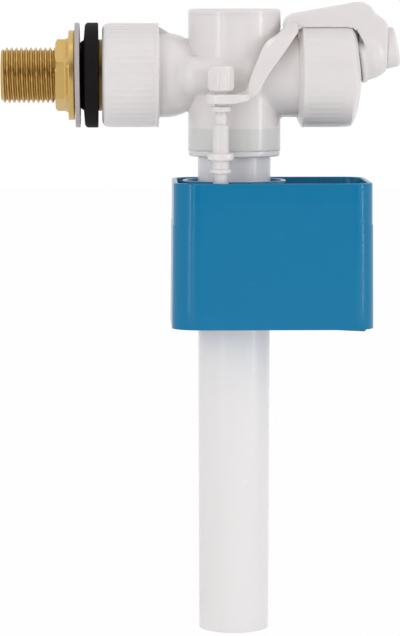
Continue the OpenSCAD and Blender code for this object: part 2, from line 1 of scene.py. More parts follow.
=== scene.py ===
# %% [markdown]
# # A side entry fill valve, finished for the camera
#
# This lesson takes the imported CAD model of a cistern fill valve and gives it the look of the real
# product: moulded white plastic, a milky pipe, a blue float, a machined brass tail and two washers.
# The CAD model stays the fixed frame. Each step below either puts a better finish on a CAD piece or
# models a softer, more detailed piece in the same place.

# %% Load the frame
import json
import math

import bmesh
import bpy
import numpy as np
from mathutils import Matrix, Vector


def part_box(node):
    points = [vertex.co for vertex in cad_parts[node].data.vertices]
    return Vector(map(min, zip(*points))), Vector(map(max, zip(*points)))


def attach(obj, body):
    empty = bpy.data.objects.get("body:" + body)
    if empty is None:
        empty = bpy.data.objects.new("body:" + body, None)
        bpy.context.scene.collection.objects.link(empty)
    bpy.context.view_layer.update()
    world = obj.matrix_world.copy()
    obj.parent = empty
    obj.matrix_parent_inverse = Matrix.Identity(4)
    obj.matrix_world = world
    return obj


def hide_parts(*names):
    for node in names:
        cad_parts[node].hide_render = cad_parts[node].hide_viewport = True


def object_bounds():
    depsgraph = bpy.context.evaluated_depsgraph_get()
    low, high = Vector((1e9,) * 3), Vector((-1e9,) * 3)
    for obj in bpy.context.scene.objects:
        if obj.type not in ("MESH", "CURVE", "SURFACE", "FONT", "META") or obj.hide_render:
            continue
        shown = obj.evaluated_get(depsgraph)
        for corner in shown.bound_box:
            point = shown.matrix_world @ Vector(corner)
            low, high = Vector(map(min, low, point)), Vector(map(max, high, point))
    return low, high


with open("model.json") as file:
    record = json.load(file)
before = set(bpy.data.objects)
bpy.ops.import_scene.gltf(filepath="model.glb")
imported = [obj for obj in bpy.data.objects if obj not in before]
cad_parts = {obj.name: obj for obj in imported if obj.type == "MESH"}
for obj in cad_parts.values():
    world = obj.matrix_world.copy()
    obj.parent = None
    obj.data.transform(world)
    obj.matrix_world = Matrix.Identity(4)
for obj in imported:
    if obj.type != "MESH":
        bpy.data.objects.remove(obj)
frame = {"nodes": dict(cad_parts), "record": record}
cad_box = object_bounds()
MM = 0.001
BODY_OF = {node: body for body, nodes in frame["record"]["behaviour"]["bodies"].items() for node in nodes}
SLOT_OF = {s["node"]: s["material_slot"] for s in frame["record"]["subparts"]}
print("CAD box in mm:", [[round(c / MM, 1) for c in corner] for corner in cad_box])

# %% [markdown]
# ## The camera
#
# The photograph was taken from the front with a long lens. Its height shows in the float, whose open
# top is just seen, and its distance in how little the far rim shrinks. Both were fitted to a dozen
# points of the object.

# %% Camera
PHOTO_H = 636
FOCAL_PX = 2950
CAMERA_DISTANCE = 1.121
CAMERA_YAW = math.radians(1.5)
CAMERA_PITCH = math.radians(5.77)
AIM_X = 45.3 * MM
CAMERA_Z = 20.8 * MM

camera = bpy.data.objects.new("camera", bpy.data.cameras.new("camera"))
bpy.context.scene.collection.objects.link(camera)
camera.data.sensor_width = 36
camera.data.lens = FOCAL_PX * camera.data.sensor_width / PHOTO_H
camera.data.clip_start = 0.05
camera.location = (AIM_X - CAMERA_DISTANCE * math.sin(CAMERA_YAW),
                   -CAMERA_DISTANCE * math.cos(CAMERA_YAW), CAMERA_Z)
camera.rotation_euler = (Matrix.Rotation(-CAMERA_YAW, 4, "Z")
                         @ Matrix.Rotation(math.pi / 2 - CAMERA_PITCH, 4, "X")).to_euler()
bpy.context.scene.camera = camera
print("lens in mm:", round(camera.data.lens, 1))

# %% [markdown]
# ## Shader maths as expressions
#
# A node tree is easier to read when its sums look like sums. `Sock` wraps one output socket, and
# adding or multiplying two of them adds the Math node that does it. `Shader.node` makes any other
# node: its settings first, then its inputs.


# %% Shader helpers
class Sock:
    """One output socket of a node tree, which can be used in sums."""

    def __init__(self, tree, socket):
        self.tree, self.socket = tree, socket

    def _math(self, operation, a, b):
        n = self.tree.nodes.new("ShaderNodeMath")
        n.operation = operation
        for socket, value in zip(n.inputs, (a, b)):
            if isinstance(value, Sock):
                self.tree.links.new(value.socket, socket)
            else:
                socket.default_value = value
        return Sock(self.tree, n.outputs[0])

    def __add__(self, other):
        return self._math("ADD", self, other)

    def __radd__(self, other):
        return self._math("ADD", other, self)

    def __rsub__(self, other):
        return self._math("SUBTRACT", other, self)

    def __mul__(self, other):
        return self._math("MULTIPLY", self, other)

    def __rmul__(self, other):
        return self._math("MULTIPLY", other, self)

    def __pow__(self, other):
        return self._math("POWER", self, other)

    def clamp(self):
        """This value kept between 0 and 1."""
        return self._math("MINIMUM", self._math("MAXIMUM", self, 0.0), 1.0)


# %% Shader
class Shader:
    """A material with one Principled shader, built by expressions."""

    def __init__(self, name, **constants):
        self.material = bpy.data.materials.new(name)
        self.material.use_nodes = True
        self.tree = self.material.node_tree
        self.principled = self.tree.nodes["Principled BSDF"]
        for key, value in constants.items():
            self.principled.inputs[key.replace("_", " ")].default_value = value
        self.place = self.node("ShaderNodeTexCoord", out="Object")

    def node(self, kind, settings=None, out=0, **inputs):
        """A node of that kind. Underscores in the names of inputs stand for blanks."""
        n = self.tree.nodes.new(kind)
        for key, value in (settings or {}).items():
            setattr(n, key, value)
        for key, value in inputs.items():
            name = key.replace("_", " ")
            socket = next(s for s in n.inputs if s.name == name and s.enabled)
            if isinstance(value, Sock):
                self.tree.links.new(value.socket, socket)
            else:
                socket.default_value = value
        return Sock(self.tree, n.outputs[out])

    def noise(self, scale, detail=3.0, stretch=(1, 1, 1)):
        """Noise on the object's own coordinates, with scale in waves per millimetre."""
        spot = self.node("ShaderNodeMapping", Vector=self.place,
                         Scale=tuple(scale * s / MM for s in stretch))
        return self.node("ShaderNodeTexNoise", out=0, Vector=spot, Scale=1.0, Detail=detail)

    def blend(self, mask, low, high):
        """A colour that goes from low to high as mask goes from 0 to 1."""
        n = self.tree.nodes.new("ShaderNodeMix")
        n.data_type = "RGBA"
        for index, value in ((0, mask), (6, low), (7, high)):
            if isinstance(value, Sock):
                self.tree.links.new(value.socket, n.inputs[index])
            else:
                n.inputs[index].default_value = value if index == 0 else (*value, 1)
        return Sock(self.tree, n.outputs[2])

    def bump(self, height, depth):
        """A bump normal from a height of 0 to 1 that stands for depth millimetres."""
        return self.node("ShaderNodeBump", Height=height, Distance=depth * MM, Strength=1.0)

    def use(self, **links):
        """Feeds the Principled shader's sockets with what varies over the surface."""
        for key, value in links.items():
            self.tree.links.new(value.socket, self.principled.inputs[key.replace("_", " ")])
        return self.material


def ramp(shader, value, low, high):
    """A smooth step of value from 0 at low to 1 at high."""
    return shader.node("ShaderNodeMapRange", {"interpolation_type": "SMOOTHSTEP"}, Value=value,
                       From_Min=low, From_Max=high, To_Min=0.0, To_Max=1.0)


# %% [markdown]
# ## The finishes
#
# Six finishes cover the valve, one for each material slot of the record. Moulded plastic is never
# quite even: its gloss has slow patches where the mould was polished by hand, and handling leaves
# fine scuffs. Machined brass shows turning lines round its axis; the roots of its thread are darker
# with oil and painted shade, and its collar with painted shade. The body's plastic is the same white
# with a greyer band low down, painted shade for the bush inside that shows through the tube's wall.
# Light could be let through the wall instead, but a colour that changes at one height is steadier
# and costs nothing.


# %% Plastic
def plastic(name, colour, shade, gloss, painted_shade_below=None, **constants):
    """Moulded plastic with slow patches in its colour and gloss, fine grain and light scuffs.

    A height in mm and a colour can be given: under that height the colour is painted shade, where another
    piece shows through the wall.
    """
    s = Shader(name, Roughness=gloss, **constants)
    patches = s.noise(0.06, 2.0)
    grain = s.noise(1.6, 4.0)
    scuff = ramp(s, s.noise(0.9, 5.0, (0.15, 1, 1)), 0.62, 0.74)
    colour = s.blend((0.65 * patches + 0.35 * grain).clamp(), shade, colour)
    # Painted shade: under the given height the colour turns greyer, where another piece shows through the
    # wall.
    if painted_shade_below:
        level, below = painted_shade_below
        height = s.node("ShaderNodeSeparateXYZ", out=2, Vector=s.place)
        colour = s.blend(ramp(s, height, (level - 0.25) * MM, (level + 0.25) * MM), below, colour)
    return s.use(
        Base_Color=colour,
        Roughness=(gloss - 0.06 + 0.12 * patches + 0.10 * scuff).clamp(),
        Normal=s.bump(0.3 * patches + 0.3 * grain, 0.012),
    )


MOULDED = dict(colour=(0.835, 0.797, 0.79), shade=(0.805, 0.768, 0.762), gloss=0.21, Specular_IOR_Level=0.5,
               Subsurface_Weight=0.25, Subsurface_Scale=0.002, Subsurface_Radius=(1.0, 0.9, 0.85))
# The bush's painted shade: from the bush's top down, the body's colour is greyer.
BUSH_TOP, BUSH_SHADE_TONE = -19.8, (0.715, 0.71, 0.70)
WHITE = plastic("moulded white plastic", **MOULDED)
BODY_WHITE_WITH_SHADE = plastic("moulded body plastic with painted shade", painted_shade_below=(BUSH_TOP, BUSH_SHADE_TONE), **MOULDED)
MILKY = plastic("milky pipe plastic", (0.91, 0.882, 0.882), (0.895, 0.866, 0.868), 0.22,
                Specular_IOR_Level=0.5, Subsurface_Weight=0.2, Subsurface_Scale=0.002,
                Subsurface_Radius=(0.9, 0.95, 1.0))
NYLON = plastic("satin nylon", (0.52, 0.47, 0.46), (0.46, 0.42, 0.41), 0.42,
                Specular_IOR_Level=0.4, Subsurface_Weight=0.2, Subsurface_Scale=0.002)
BLUE = plastic("blue float plastic", (0.003, 0.203, 0.405), (0.002, 0.185, 0.375), 0.2,
               Specular_IOR_Level=0.22)


# %% Rubber
def rubber():
    """Black rubber: matt, with a dusty bloom and fine mould grain."""
    s = Shader("black rubber", Specular_IOR_Level=0.12)
    bloom = s.noise(0.25, 4.0)
    grain = s.noise(3.0, 3.0)
    return s.use(
        Base_Color=s.blend(bloom, (0.007, 0.005, 0.006), (0.013, 0.010, 0.011)),
        Roughness=0.62 + 0.15 * bloom,
        Normal=s.bump(grain, 0.02),
    )


RUBBER = rubber()


# %% Brass
# Radii between which the roots' oil and painted shade fade out, and where along X the collar's painted shade
# fades in.
ROOT_TONE_R, CREST_TONE_R = 9.35, 10.25
COLLAR_SHADE_X0, COLLAR_SHADE_X1 = 5.5, 6.8


def brass():
    """Turned brass: fine tool lines round the X axis, painted shade on its collar, and oil and painted shade
    in the roots.
    """
    s = Shader("turned brass", Metallic=1.0)
    x, y, z = (s.node("ShaderNodeSeparateXYZ", out=axis, Vector=s.place) for axis in "XYZ")
    from_axis = (y * y + z * z) ** 0.5 * (1 / MM)
    lines = s.noise(6.0, 2.0, (1.0, 0.02, 0.02))
    stain = s.noise(0.35, 4.0)
    # The thread's roots are darker: partly an oil stain, partly painted shade and painted dark reflection.
    root = 1 - ramp(s, from_axis, ROOT_TONE_R, CREST_TONE_R)
    # Painted shade: the collar between the rubber washer and the union nut darkens along X.
    collar_shade = ramp(s, x * (1 / MM), COLLAR_SHADE_X0, COLLAR_SHADE_X1)
    dark = (0.26 * root + 0.62 * collar_shade + 0.08 * stain).clamp()
    clean = s.blend(stain, (0.60, 0.40, 0.135), (0.72, 0.50, 0.185))
    return s.use(
        # The dark colour stands for oil, stain and painted shade.
        Base_Color=s.blend(dark, clean, (0.08, 0.04, 0.012)),
        Roughness=0.24 + 0.12 * lines + 0.10 * stain,
        Normal=s.bump(lines, 0.012),
    )


BRASS = brass()
FINISH = {"white_plastic": WHITE, "milky_plastic": MILKY, "nylon": NYLON, "blue_plastic": BLUE,
          "rubber": RUBBER, "brass": BRASS}
for node, obj in frame["nodes"].items():
    obj.data.materials.clear()
    obj.data.materials.append(FINISH[SLOT_OF[node]])
print("finishes:", len(FINISH))

# %% [markdown]
# ## From a mesh to a piece
#
# Every new piece ends the same way: its mesh gets smooth shading with creases only where the surface
# really turns, takes the finish of its CAD node, hides that node, and rides on the same body, so that
# it moves in every pose.


# %% Pieces
def span(node):
    """A CAD node's box in millimetres, as (low, high) for X, Y and Z."""
    low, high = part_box(node)
    return [(a / MM, b / MM) for a, b in zip(low, high)]


def piece(name, bm, node, crease=32, finish=None):
    """Makes an object of the bmesh, which stands for the CAD node."""
    mesh = bpy.data.meshes.new(name)
    bm.to_mesh(mesh)
    bm.free()
    mesh.shade_smooth()
    mesh.set_sharp_from_angle(angle=math.radians(crease))
    mesh.materials.append(finish or FINISH[SLOT_OF[node]])
    obj = bpy.data.objects.new(name, mesh)
    bpy.context.scene.collection.objects.link(obj)
    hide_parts(node)
    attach(obj, BODY_OF[node])
    mesh.calc_loop_triangles()
    print(f"{name}: {len(mesh.loop_triangles)} triangles")
    return obj


# %% [markdown]
# ## Turned shapes
#
# Nuts, washers, rings and pipes are round about one axis. They could be cut from cylinders with
# booleans, but a lathe profile is quicker and cleaner: a closed wire in the XZ plane, with each corner
# rounded by a vertex bevel, is spun round the X axis. A mould or a lathe leaves no sharp corner, and
# those small rounds are what catches the light.


# %% Lathe
def turned(profile, steps=96, closed=True):
    """Spins a profile of (along, radius, rounding, cuts to the next point), in mm, round the X axis."""
    bm = bmesh.new()
    corners = [(*p, 0, 0)[:4] for p in profile]
    wire = []
    for (x0, r0, rounding, cuts), (x1, r1, _, _) in zip(corners, corners[1:] + corners[:1]):
        wire.append((x0, r0, rounding))
        wire += [(x0 + (x1 - x0) * k / (cuts + 1), r0 + (r1 - r0) * k / (cuts + 1), 0)
                 for k in range(1, cuts + 1)]
    verts = [bm.verts.new((along * MM, 0, radius * MM)) for along, radius, _ in wire]
    for pair in list(zip(verts, verts[1:] + verts[:1]))[:None if closed else -1]:
        bm.edges.new(pair)
    for vert, (_, _, rounding) in zip(verts, wire):
        if rounding:
            bmesh.ops.bevel(bm, geom=[vert], offset=rounding * MM, offset_type="OFFSET", segments=4,
                            profile=0.5, affect="VERTICES", material=-1, clamp_overlap=True)
    bmesh.ops.spin(bm, geom=bm.verts[:] + bm.edges[:], cent=(0, 0, 0), axis=(1, 0, 0),
                   angle=2 * math.pi, steps=steps, use_merge=True)
    bmesh.ops.remove_doubles(bm, verts=bm.verts, dist=0.002 * MM)
    bmesh.ops.recalc_face_normals(bm, faces=bm.faces)
    return bm


def upright(bm, x, y=0.0):
    """Turns a shape from the X axis to the vertical through (x, y), in millimetres."""
    place = Matrix.Translation((x * MM, y * MM, 0)) @ Matrix.Rotation(-math.pi / 2, 4, "Y")
    bmesh.ops.transform(bm, matrix=place, verts=bm.verts)
    return bm


# %% Reshaping
def reshape(bm, radius_at):
    """Moves each vertex to radius_at(along, radius, angle) round the X axis, in millimetres."""
    for v in bm.verts:
        radius = math.hypot(v.co.y, v.co.z) / MM
        if radius > 0.01:
            angle = math.atan2(v.co.z, v.co.y)
            v.co.yz = v.co.yz * (radius_at(v.co.x / MM, radius, angle) / radius)
    return bm


def step(value, low, high):
    """A smooth step from 0 at low to 1 at high."""
    t = min(max((value - low) / (high - low), 0.0), 1.0)
    return t * t * (3 - 2 * t)


# %% [markdown]
# ## The threaded tail
#
# The brass tail is a G1/2 pipe thread: 14 threads to the inch, so 1.814 mm of pitch and 1.16 mm of
# depth. A texture would stay flat in the outline, where the photograph shows the crests best. So the
# profile is cut into short steps, and after the spin each vertex is moved to the height of a helical
# tooth at its own place, with rounded crests and roots. The tooth is limited by the end's chamfer.

# %% Inlet shank
THREAD_PITCH, THREAD_DEPTH = 1.814, 1.16
(shank_left, shank_right), _, _ = span("inlet_shank")
(hex_left, nut_right), _, _ = span("backnut")
union_left = span("union_nut")[0][0]
CREST_R, BORE_R = 10.48, 6.6
CHAMFER_DEPTH, CHAMFER_LENGTH = 1.25, 1.3


def tooth(turns):
    """Height of a thread from 0 at the root to 1 at the crest: flanks with rounded crest and root."""
    wave = 1 - abs(2 * (turns % 1.0) - 1)
    return step(wave, 0.12, 0.88)


def shank_radius(along, radius, angle):
    """The thread on the left of the back nut's face, limited by the end's chamfer."""
    if radius < CREST_R - 0.9 or radius > CREST_R + 0.2 or along > nut_right - 0.4:
        return radius
    height = tooth(along / THREAD_PITCH - angle / (2 * math.pi))
    thread = CREST_R - THREAD_DEPTH * (1 - height) * (1 - step(along, nut_right - 2.5, nut_right - 0.5))
    chamfer = CREST_R - CHAMFER_DEPTH + CHAMFER_DEPTH * (along - shank_left) / CHAMFER_LENGTH
    return min(thread, chamfer)


COLLAR_X, COLLAR_R, UNDER_R = 6.8, 13.48, 10.3
FLANGE_X, FLANGE_R = union_left + 2.5, 15.38
shank = turned([
    (shank_left, BORE_R, 0.4), (shank_left, CREST_R - 0.3), (shank_left + 0.15, CREST_R, 0, 200),
    (nut_right - 0.3, CREST_R), (nut_right, UNDER_R), (COLLAR_X, UNDER_R), (COLLAR_X, COLLAR_R, 0.3),
    (FLANGE_X, COLLAR_R), (FLANGE_X, FLANGE_R), (shank_right, FLANGE_R), (shank_right, BORE_R, 0.3),
])
piece("threaded_shank", reshape(shank, shank_radius), "inlet_shank")

# %% [markdown]
# ## The back nut
#
# A flanged hexagon nut. Its hexagon could be a six-sided prism cut by a cone, but the same shape comes
# from a turned blank whose vertices are drawn in to the six flats, as a milling cutter would. The
# corners then fade into the chamfer in the curved way that real nuts show. A fillet joins hexagon and
# flange.

# %% Back nut
NUT_BORE_R, NUT_WALL_R, FLANGE_NUT_R = 10.42, 11.98, 16.9
HEX_R = NUT_WALL_R / math.cos(math.radians(30))
flange_left = nut_right - 2.2
HEX_TURN = math.radians(39)


def milled(along, radius, angle):
    """The hexagon: each point drawn in to its flat, with a fillet to the flange."""
    if radius < NUT_WALL_R - 0.8 or along > flange_left - 0.2:
        return radius
    toward_flat = (angle - HEX_TURN) % math.radians(60) - math.radians(30)
    flat = NUT_WALL_R / math.cos(toward_flat)
    fillet = 1.1 * step(along, flange_left - 1.3, flange_left - 0.1)
    return min(radius, flat + fillet)


nut = turned([
    (hex_left, NUT_BORE_R, 0.3), (hex_left, HEX_R - 1.35), (hex_left + 0.35, HEX_R - 0.75, 0, 4),
    (hex_left + 1.0, HEX_R + 0.25, 0, 24), (flange_left - 0.1, HEX_R + 0.25, 0, 2),
    (flange_left, HEX_R + 0.3), (flange_left, FLANGE_NUT_R, 0.35), (nut_right, FLANGE_NUT_R, 0.2),
    (nut_right, NUT_BORE_R, 0.3),
], steps=180)
piece("hexagon_back_nut", reshape(nut, milled), "backnut", crease=24)

# %% [markdown]
# ## Washers
#
# The hard washer outside the wall is a punched disc with a burnished edge. It hangs on the thread with
# a little play, so it stands a trace out of square, as it does in the photograph. The rubber washer is
# moulded with a boss that centres it in the wall's hole, and rubber edges are always soft.

# %% Nylon and rubber washers
WASHER_R = span("nylon_washer")[2][1] - 0.05
WASHER_LEFT, WASHER_RIGHT, WASHER_BORE_R, WASHER_TILT = -1.9, -0.1, 10.45, math.radians(-0.5)
washer = turned([
    (WASHER_LEFT, WASHER_BORE_R, 0.2), (WASHER_LEFT, WASHER_R, 0.3),
    (WASHER_RIGHT, WASHER_R, 0.3), (WASHER_RIGHT, WASHER_BORE_R, 0.2),
])
bmesh.ops.rotate(washer, verts=washer.verts, cent=((WASHER_LEFT + WASHER_RIGHT) / 2 * MM, 0, 0),
                 matrix=Matrix.Rotation(WASHER_TILT, 3, "Y"))
piece("hard_washer", washer, "nylon_washer")

RUBBER_R = span("rubber_washer")[2][1]
RUBBER_LEFT, RUBBER_RIGHT, BOSS_X, BOSS_R = 0.02, 6.8, 1.3, 13.2
rubber_ring = turned([
    (RUBBER_LEFT, NUT_BORE_R, 0.2), (RUBBER_LEFT, 12.5, 0.4), (BOSS_X, BOSS_R, 0.35),
    (1.75, RUBBER_R - 1.0, 0.3), (2.5, RUBBER_R, 0.5), (RUBBER_RIGHT, RUBBER_R, 0.45),
    (RUBBER_RIGHT, NUT_BORE_R, 0.2),
])
piece("rubber_ring", rubber_ring, "rubber_washer")

# %% [markdown]
# ## Union nut
#
# A hand nut: a moulded white ring with fine shallow ribs for the fingers, a bead on one edge and a soft
# radius on the other. The ribs are too shallow to cut one by one. The blank is spun with eight steps to
# a rib, and its skin is lifted by a rounded wave that fades out at both ends.


# %% Union nut
def ribs(angle, count):
    """Ribs round a piece: 0 in the hollows and 1 on the crests, with rounded shoulders."""
    return step(0.5 + 0.5 * math.cos(count * angle), 0.05, 0.85)


(nut_x0, nut_x1), _, (_, union_r) = span("union_nut")
RIB_COUNT, RIB_DEPTH = 48, 0.13
UNION_SKIN, UNION_SEAT_X, UNION_SEAT_R, UNION_THREAD_R = union_r - 0.2, nut_x0 + 2.45, 13.6, 16.7


def union_radius(along, radius, angle):
    """The union nut's ribs."""
    if abs(radius - UNION_SKIN) > 0.02:
        return radius
    fade = step(along, nut_x0 + 2.0, nut_x0 + 3.6) * (1 - step(along, nut_x1 - 2.6, nut_x1 - 1.6))
    return radius + RIB_DEPTH * ribs(angle, RIB_COUNT) * fade


union = turned([
    (nut_x0, UNION_SEAT_R, 0.3), (nut_x0, UNION_SKIN, 2.1), (nut_x0 + 2.2, UNION_SKIN, 0, 16),
    (nut_x1 - 1.5, UNION_SKIN), (nut_x1 - 1.1, union_r, 0.3), (nut_x1, union_r, 0.45),
    (nut_x1, UNION_THREAD_R, 0.4), (UNION_SEAT_X, UNION_THREAD_R, 0.4), (UNION_SEAT_X, UNION_SEAT_R),
], steps=RIB_COUNT * 8)
piece("ribbed_union_nut", reshape(union, union_radius), "union_nut")

# %% [markdown]
# ## Clamping ring
#
# The ring over the pilot end has the same fine ribs, shallower, with a bead on its left edge and a
# domed front round an opening for the pilot cover. A big edge round would give nearly that dome, but
# the photograph shows a flatter one, so the profile follows part of an ellipse in steps of 3 degrees.

# %% Clamping ring
(ring_x0, _), _, (_, ring_r) = span("clamping_ring")
RING_SKIN, RING_RIB_DEPTH = ring_r - 0.15, 0.07
RING_END, DOME_H, OPENING_R, COVER_FACE = 106.4, 5.2, 14.8, 101.5
RING_SEAT_X, RING_SEAT_R, RING_BORE_R = ring_x0 + 1.55, 17.0, 16.0


def domed(radius):
    """Where the ring's dome stands along the axis, at a distance from the axis."""
    return RING_END - DOME_H * (1 - math.sqrt(1 - min(radius / ring_r, 1) ** 2))


def ring_radius(along, radius, angle):
    """The clamping ring's ribs."""
    if abs(radius - RING_SKIN) > 0.02:
        return radius
    fade = step(along, ring_x0 + 2.6, ring_x0 + 4.0) * (1 - step(along, RING_END - 9.5, RING_END - 7.0))
    return radius + RING_RIB_DEPTH * ribs(angle, RIB_COUNT) * fade


dome_radii = [ring_r * math.sin(math.radians(a)) for a in range(78, 51, -3)]
ring = turned([
    (ring_x0, RING_BORE_R, 0.2), (ring_x0, 16.5, 0.2), (ring_x0 + 1.6, RING_SKIN, 0.3),
    (ring_x0 + 1.8, ring_r, 0.2), (ring_x0 + 2.6, ring_r, 0.2), (ring_x0 + 2.9, RING_SKIN, 0, 14),
    (RING_END - 6.6, RING_SKIN), *[(domed(r), r) for r in dome_radii], (domed(OPENING_R), OPENING_R, 0.3),
    (COVER_FACE, OPENING_R), (COVER_FACE, RING_SEAT_R), (RING_SEAT_X, RING_SEAT_R), (RING_SEAT_X, RING_BORE_R),
], steps=RIB_COUNT * 8)
piece("domed_clamping_ring", reshape(ring, ring_radius), "clamping_ring")

# %% [markdown]
# ## The valve body
#
# The heart of the valve is one moulding in which an upright tube, two side arms, a front passage and a
# small web run into each other with soft fillets. Booleans and an edge bevel would leave pinched
# corners where curved walls meet. Instead the outside is written as distance functions, one for each
# cylinder, blended so that each join gets a fillet. A copy of the CAD mesh is remeshed in small cubes,
# which keeps all its bores, and then each vertex slides to where the blended distance is zero. So the
# tube is truly round and the fillets are even.


# %% Blended distance to the body
def cylinder(p, axis, centre, radius, low, high):
    """Distance from points p to a capped cylinder along X (axis 0) or Z (axis 2), in millimetres."""
    across = [i for i in range(3) if i != axis]
    radial = np.hypot(p[:, across[0]] - centre[0], p[:, across[1]] - centre[1]) - radius
    return np.maximum(radial, np.abs(p[:, axis] - (low + high) / 2) - (high - low) / 2)


def barrel(p, low, high, y, radius):
    """Distance to a bar along X with round ends, in millimetres."""
    x = np.clip(p[:, 0], low + radius, high - radius)
    return np.sqrt((p[:, 0] - x) ** 2 + (p[:, 1] - y) ** 2 + p[:, 2] ** 2) - radius


def joined(a, b, fillet):
    """The union of two distances with a fillet where they meet."""
    h = np.clip(0.5 + 0.5 * (b - a) / fillet, 0, 1)
    return b * (1 - h) + a * h - fillet * h * (1 - h)


TUBE_X, TUBE_R, TUBE_LOW, TUBE_HIGH = 58.3, 17.5, -28.5, 23.0
CAP_SEAT = 0.25
ARM_R, SHOULDER_X = 15.9, 32.3
PASSAGE_X0, PASSAGE_X1, PASSAGE_Y, PASSAGE_R = 36.3, 69.1, -11.2, 7.4
STUB_X, SEAT_X, RIGHT_STUB_R = 15.2, 95.8, 16.9
WEB_HALF, WEB_LENGTH, WEB_RISE, WEB_SLOPE = 1.4, 8, 2.4, 0.62
WEB_FILLET, ARM_FILLET, TUBE_FILLET, PASSAGE_FILLET = 0.5, 1.0, 0.8, 1.8


def outside(p):
    """Distance from points p to the outside of the body, with its fillets, in millimetres."""
    shoulder = np.maximum(np.linalg.norm(p - (SHOULDER_X, 0, 0), axis=1) - ARM_R, SHOULDER_X - p[:, 0])
    left = np.minimum(cylinder(p, 0, (0, 0), ARM_R, nut_x1 - 2, SHOULDER_X), shoulder)
    tube = cylinder(p, 2, (TUBE_X, 0), TUBE_R, TUBE_LOW, TUBE_HIGH + CAP_SEAT)
    right = cylinder(p, 0, (0, 0), ARM_R, TUBE_X, ring_x0 + 3)
    passage = barrel(p, PASSAGE_X0, PASSAGE_X1, PASSAGE_Y, PASSAGE_R)
    slope = (p[:, 2] + WEB_SLOPE * (p[:, 0] - nut_x1) - ARM_R - WEB_RISE) * 0.85
    web = np.maximum.reduce([np.abs(p[:, 1]) - WEB_HALF, slope, nut_x1 + 0.1 - p[:, 0],
                             p[:, 0] - nut_x1 - WEB_LENGTH, ARM_R - 4 - p[:, 2]])
    arms = joined(joined(left, web, WEB_FILLET), joined(tube, right, ARM_FILLET), TUBE_FILLET)
    stubs = np.minimum(cylinder(p, 0, (0, 0), ARM_R + 0.7, STUB_X, nut_x1),
                       cylinder(p, 0, (0, 0), RIGHT_STUB_R, ring_x0 + 1.6, SEAT_X))
    return np.minimum(joined(arms, passage, PASSAGE_FILLET), stubs)


# %% [markdown]
# ## From cubes to a smooth skin
#
# Remeshing in cubes gives an even mesh but a rough skin. Each vertex near the skin then walks down the
# slope of the distance until it stands on the surface, and one that would have to walk too far is a
# bore's or an edge's and stays. The first round moves the walls a long way, so the body is remeshed
# once more and settled again. The CAD passage has flat ends, so there the search goes deeper.

# %% Remeshing
BODY_CUBE, SKIN_REACH, PASSAGE_REACH = 0.6, 0.8, 2.4


def cad_shape(node):
    """A bmesh of a CAD node's shape, with its loose triangles joined up."""
    bm = bmesh.new()
    bm.from_mesh(frame["nodes"][node].data)
    bmesh.ops.remove_doubles(bm, verts=bm.verts, dist=0.002 * MM)
    return bm


def remeshed(bm, cube):
    """The same closed shape, made again of small cubes whose size is given in millimetres."""
    mesh = bpy.data.meshes.new("blank")
    bm.to_mesh(mesh)
    blank = bpy.data.objects.new("blank", mesh)
    bpy.context.scene.collection.objects.link(blank)
    modifier = blank.modifiers.new("cubes", "REMESH")
    modifier.mode = "VOXEL"
    modifier.voxel_size = cube * MM
    bm.clear()
    bm.from_object(blank, bpy.context.evaluated_depsgraph_get())
    bpy.data.objects.remove(blank)
    bpy.data.meshes.remove(mesh)
    return bm


# %% Body
def settle(bm, distance, furthest):
    """Slides the skin's vertices, which lie a little under the surface distance = 0, onto it."""
    p = np.array([v.co for v in bm.verts]) / MM
    start = p.copy()
    gap = distance(p)
    near = (gap > -SKIN_REACH) | ((gap > -PASSAGE_REACH) & (p[:, 1] < PASSAGE_Y - 3.4))
    for _ in range(4):
        gap = distance(p)
        slope = np.stack([(distance(p + d) - distance(p - d)) / 0.02 for d in np.eye(3) * 0.01], axis=1)
        p -= slope * (gap / np.maximum((slope ** 2).sum(axis=1), 0.2))[:, None]
    move = np.linalg.norm(p - start, axis=1)
    keep = near & (move < furthest)
    for v, place, good in zip(bm.verts, p, keep):
        if good:
            v.co = place * MM
    return int(keep.sum())


body = remeshed(cad_shape("valve_body"), BODY_CUBE)
settle(body, outside, furthest=8)
body = remeshed(body, BODY_CUBE)
print("body vertices on the blended surface:", settle(body, outside, furthest=1.5), "of", len(body.verts))
# The body's finish carries the painted shade of the bush.
piece("moulded_body", body, "valve_body", crease=60, finish=BODY_WHITE_WITH_SHADE)

# %% [markdown]
# ## Top cap, collar and downpipe
#
# The tube is closed by a pressed-in disc, whose joint shows as a fine line under its rounded edge. At
# the bottom a lipped bush holds the downpipe. The pipe is a drawn and slightly tapered tube of milky
# plastic, so it is spun as a wall with a real bore and fire-polished ends.

# %% Cap, collar, pipe
CAP_TOP = span("top_cap")[2][1]
CAP_R, PLUG_R, PLUG_BORE_R, PLUG_LOW = TUBE_R + 0.01, 15.0, 13.4, TUBE_HIGH - 3.5
cap = turned([
    (CAP_TOP, 0), (CAP_TOP, CAP_R, 1.25), (TUBE_HIGH - 0.3, CAP_R), (TUBE_HIGH - 0.3, TUBE_R - 0.5),
    (TUBE_HIGH + 0.02, TUBE_R - 0.5), (TUBE_HIGH + 0.02, PLUG_R), (PLUG_LOW, PLUG_R, 0.3),
    (PLUG_LOW, PLUG_BORE_R, 0.2), (TUBE_HIGH, PLUG_BORE_R), (TUBE_HIGH, 0),
], closed=False)
piece("pressed_cap", upright(cap, TUBE_X), "top_cap")

